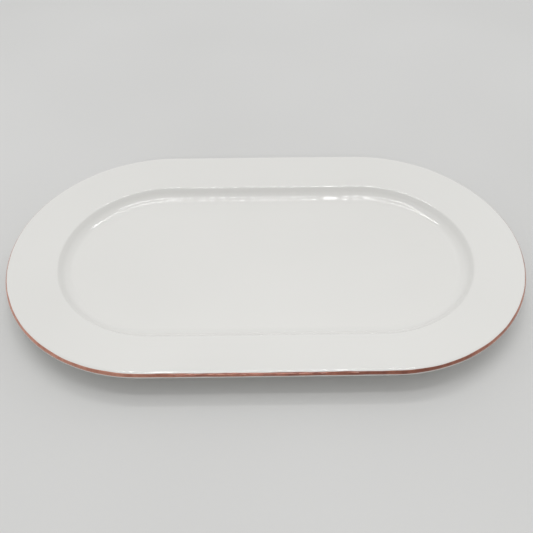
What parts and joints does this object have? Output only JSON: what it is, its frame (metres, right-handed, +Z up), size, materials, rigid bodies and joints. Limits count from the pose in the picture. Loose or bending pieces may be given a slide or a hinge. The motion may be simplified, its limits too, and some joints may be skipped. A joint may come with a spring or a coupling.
{
  "type": "serving platter",
  "caption": "Racetrack-oval glazed white china serving platter with a broad rim, shallow flat well, low foot ring and copper-brown edge band.",
  "frame": {"origin": "on the table under the middle of the platter, at the level of the foot's standing edge", "axes": "+X along the platter's length, +Y across it, +Z up out of the well"},
  "size_m": [0.3556, 0.209, 0.0213],
  "materials": {
    "white_glaze": "clear gloss glaze on white china",
    "copper_lustre": "fired copper-brown lustre, semi-gloss, brushed on",
    "bisque": "matt unglazed china, slightly rough"
  },
  "bodies": {
    "root": {"rim": "white_glaze", "edge_band": "copper_lustre", "well_wall": "white_glaze", "well_floor": "white_glaze", "foot_ring": "white_glaze", "foot_standing_edge": "bisque"}
  },
  "joints": []
}
